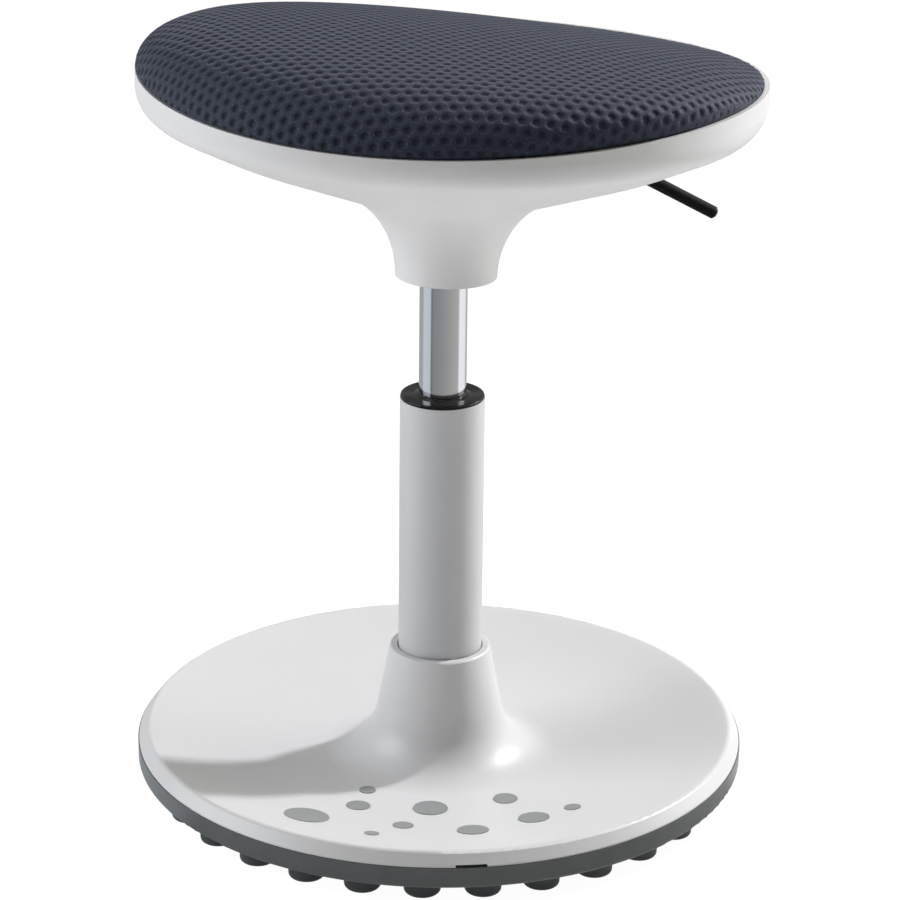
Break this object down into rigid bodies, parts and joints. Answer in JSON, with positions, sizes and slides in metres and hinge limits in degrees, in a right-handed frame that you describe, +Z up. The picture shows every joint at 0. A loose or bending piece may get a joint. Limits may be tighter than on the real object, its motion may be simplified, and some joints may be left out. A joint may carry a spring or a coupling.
{
  "type": "height-adjustable active stool",
  "caption": "Round stool with a saddle-shaped mesh cushion on a gas-spring column, a release lever under the seat and a weighted base on a studded rubber sole.",
  "frame": {"origin": "on the floor, under the middle of the base", "axes": "+Z up; -Y towards the front of the picture, +X to its right; the release lever points towards +X"},
  "size_m": [0.3658, 0.3648, 0.4662],
  "materials": {
    "sole_rubber": "matt moulded rubber",
    "stud_rubber": "matt moulded rubber",
    "white_plastic": "satin injection-moulded plastic",
    "inlay_rubber": "matt moulded rubber",
    "white_steel": "powder-coated steel",
    "ballast_steel": "primed steel plate",
    "black_plastic": "glossy moulded plastic",
    "chromed_steel": "polished chrome plate",
    "bright_steel": "ground steel",
    "zinc_steel": "zinc-plated steel",
    "nylon": "natural nylon",
    "stop_rubber": "matt rubber",
    "brass": "turned brass",
    "black_steel": "satin black coated steel",
    "lever_black": "satin moulded plastic",
    "board_wood": "plywood",
    "foam": "open-cell foam",
    "mesh_fabric": "spacer-mesh polyester"
  },
  "bodies": {
    "base": {"rubber_sole": "sole_rubber", "sole_studs": "stud_rubber", "ballast_plate": "ballast_steel", "column_hub": "zinc_steel", "base_shell": "white_plastic", "base_screws": "zinc_steel", "window_inlays": "inlay_rubber", "column_tube": "white_steel", "column_end_plate": "zinc_steel", "guide_bush": "black_plastic", "lower_race": "bright_steel"},
    "ball_cage": {"bearing_balls": "bright_steel", "ball_cage": "nylon"},
    "rod": {"upper_race": "bright_steel", "piston_rod": "bright_steel", "piston": "zinc_steel", "bump_stop": "stop_rubber", "rod_clip": "bright_steel"},
    "seat": {"gas_cylinder": "chromed_steel", "pressure_tube": "bright_steel", "rod_gland": "nylon", "valve_body": "brass", "valve_spring": "bright_steel", "taper_socket": "black_steel", "seat_plate": "black_steel", "seat_plate_screws": "zinc_steel", "seat_shell": "white_plastic", "lever_pin": "zinc_steel", "cushion_board": "board_wood", "board_pegs": "nylon", "seat_foam": "foam", "seat_cover": "mesh_fabric"},
    "lever": {"lever": "black_steel", "lever_plug": "lever_black"},
    "release_pin": {"release_pin": "bright_steel"}
  },
  "joints": [
    {"name": "seat_swivel", "type": "hinge", "parent": "base", "child": "rod", "pos_m": [0, 0, 0.0329], "axis": [0, 0, 1], "continuous": true},
    {"name": "cage_turn", "type": "hinge", "parent": "base", "child": "ball_cage", "pos_m": [0, 0, 0.0294], "axis": [0, 0, 1], "continuous": true},
    {"name": "seat_height", "type": "slide", "parent": "rod", "child": "seat", "axis": [0, 0, 1], "range_m": [-0.06, 0.07]},
    {"name": "lever_pivot", "type": "hinge", "parent": "seat", "child": "lever", "pos_m": [0.03381, 0.00906, 0.3884], "axis": [0.2588, -0.9659, 0], "range_deg": [0, 5], "stiffness_Nm_per_rad": 1},
    {"name": "valve_press", "type": "slide", "parent": "seat", "child": "release_pin", "axis": [0, 0, -1], "range_m": [0, 0.0033], "stiffness_N_per_m": 200, "deforming": ["valve_spring"]}
  ],
  "couplings": [
    {"joint": "cage_turn", "follows": "seat_swivel", "ratio": 0.5},
    {"joint": "valve_press", "follows": "lever_pivot", "m_per_rad": 0.0368}
  ]
}
